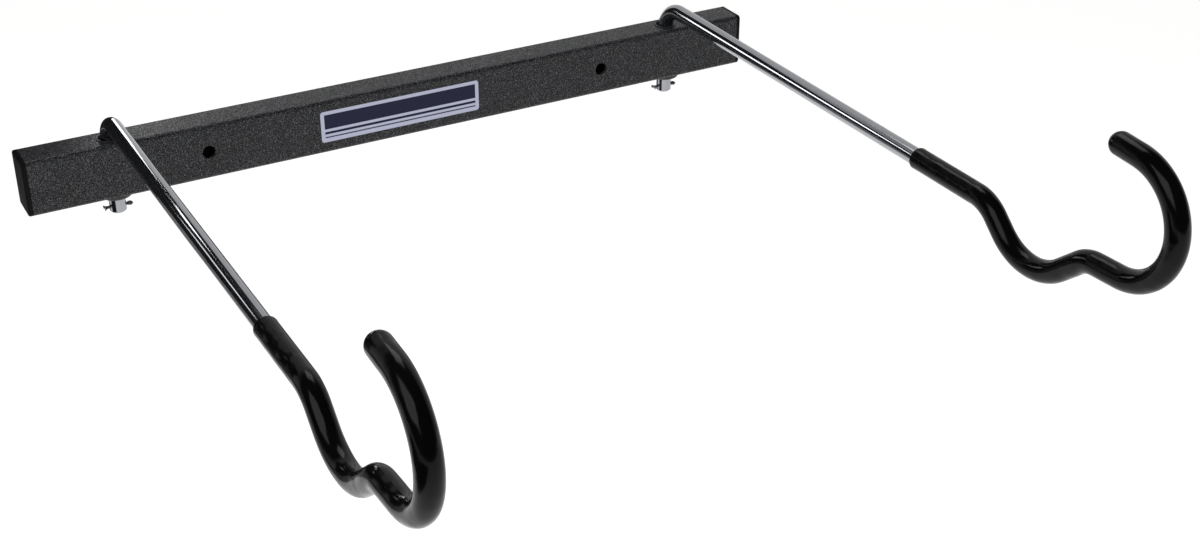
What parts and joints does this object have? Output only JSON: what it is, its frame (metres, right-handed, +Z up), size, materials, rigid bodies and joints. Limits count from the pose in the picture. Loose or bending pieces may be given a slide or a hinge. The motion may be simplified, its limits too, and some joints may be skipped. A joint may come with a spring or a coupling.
{
  "type": "wall-mounted bike hanger",
  "caption": "Flat wall rail of rectangular steel tube with swinging plated rod arms, each ending in a sleeved double hook that holds a bicycle frame.",
  "frame": {"origin": "centre of the rail's back face, midway between the two wall screws", "axes": "+X along the rail to the right as seen from the room, +Y into the wall, +Z up; the arms reach towards -Y"},
  "size_m": [0.49, 0.4826, 0.1371],
  "materials": {
    "rail_paint": "charcoal hammertone powder coat",
    "cap_plastic": "moulded black plastic, fine satin",
    "bush_plastic": "moulded black nylon",
    "plated_rod": "bright zinc-plated steel rod",
    "sleeve_pvc": "glossy soft black PVC",
    "pin_steel": "plain bright steel wire"
  },
  "bodies": {
    "rail": {"rail_tube": "rail_paint", "left_end_cap": "cap_plastic", "right_end_cap": "cap_plastic", "left_upper_bush": "bush_plastic", "right_upper_bush": "bush_plastic", "left_lower_bush": "bush_plastic", "right_lower_bush": "bush_plastic"},
    "left_swing_arm": {"left_arm": "plated_rod", "left_sleeve": "sleeve_pvc", "left_split_pin": "pin_steel"},
    "right_swing_arm": {"right_arm": "plated_rod", "right_sleeve": "sleeve_pvc", "right_split_pin": "pin_steel"}
  },
  "joints": [
    {"name": "left_arm_swing", "type": "hinge", "parent": "rail", "child": "left_swing_arm", "pos_m": [-0.191, -0.0115, 0], "axis": [0, 0, -1], "range_deg": [-20, 90]},
    {"name": "right_arm_swing", "type": "hinge", "parent": "rail", "child": "right_swing_arm", "pos_m": [0.191, -0.0115, 0], "axis": [0, 0, 1], "range_deg": [-20, 90]}
  ]
}
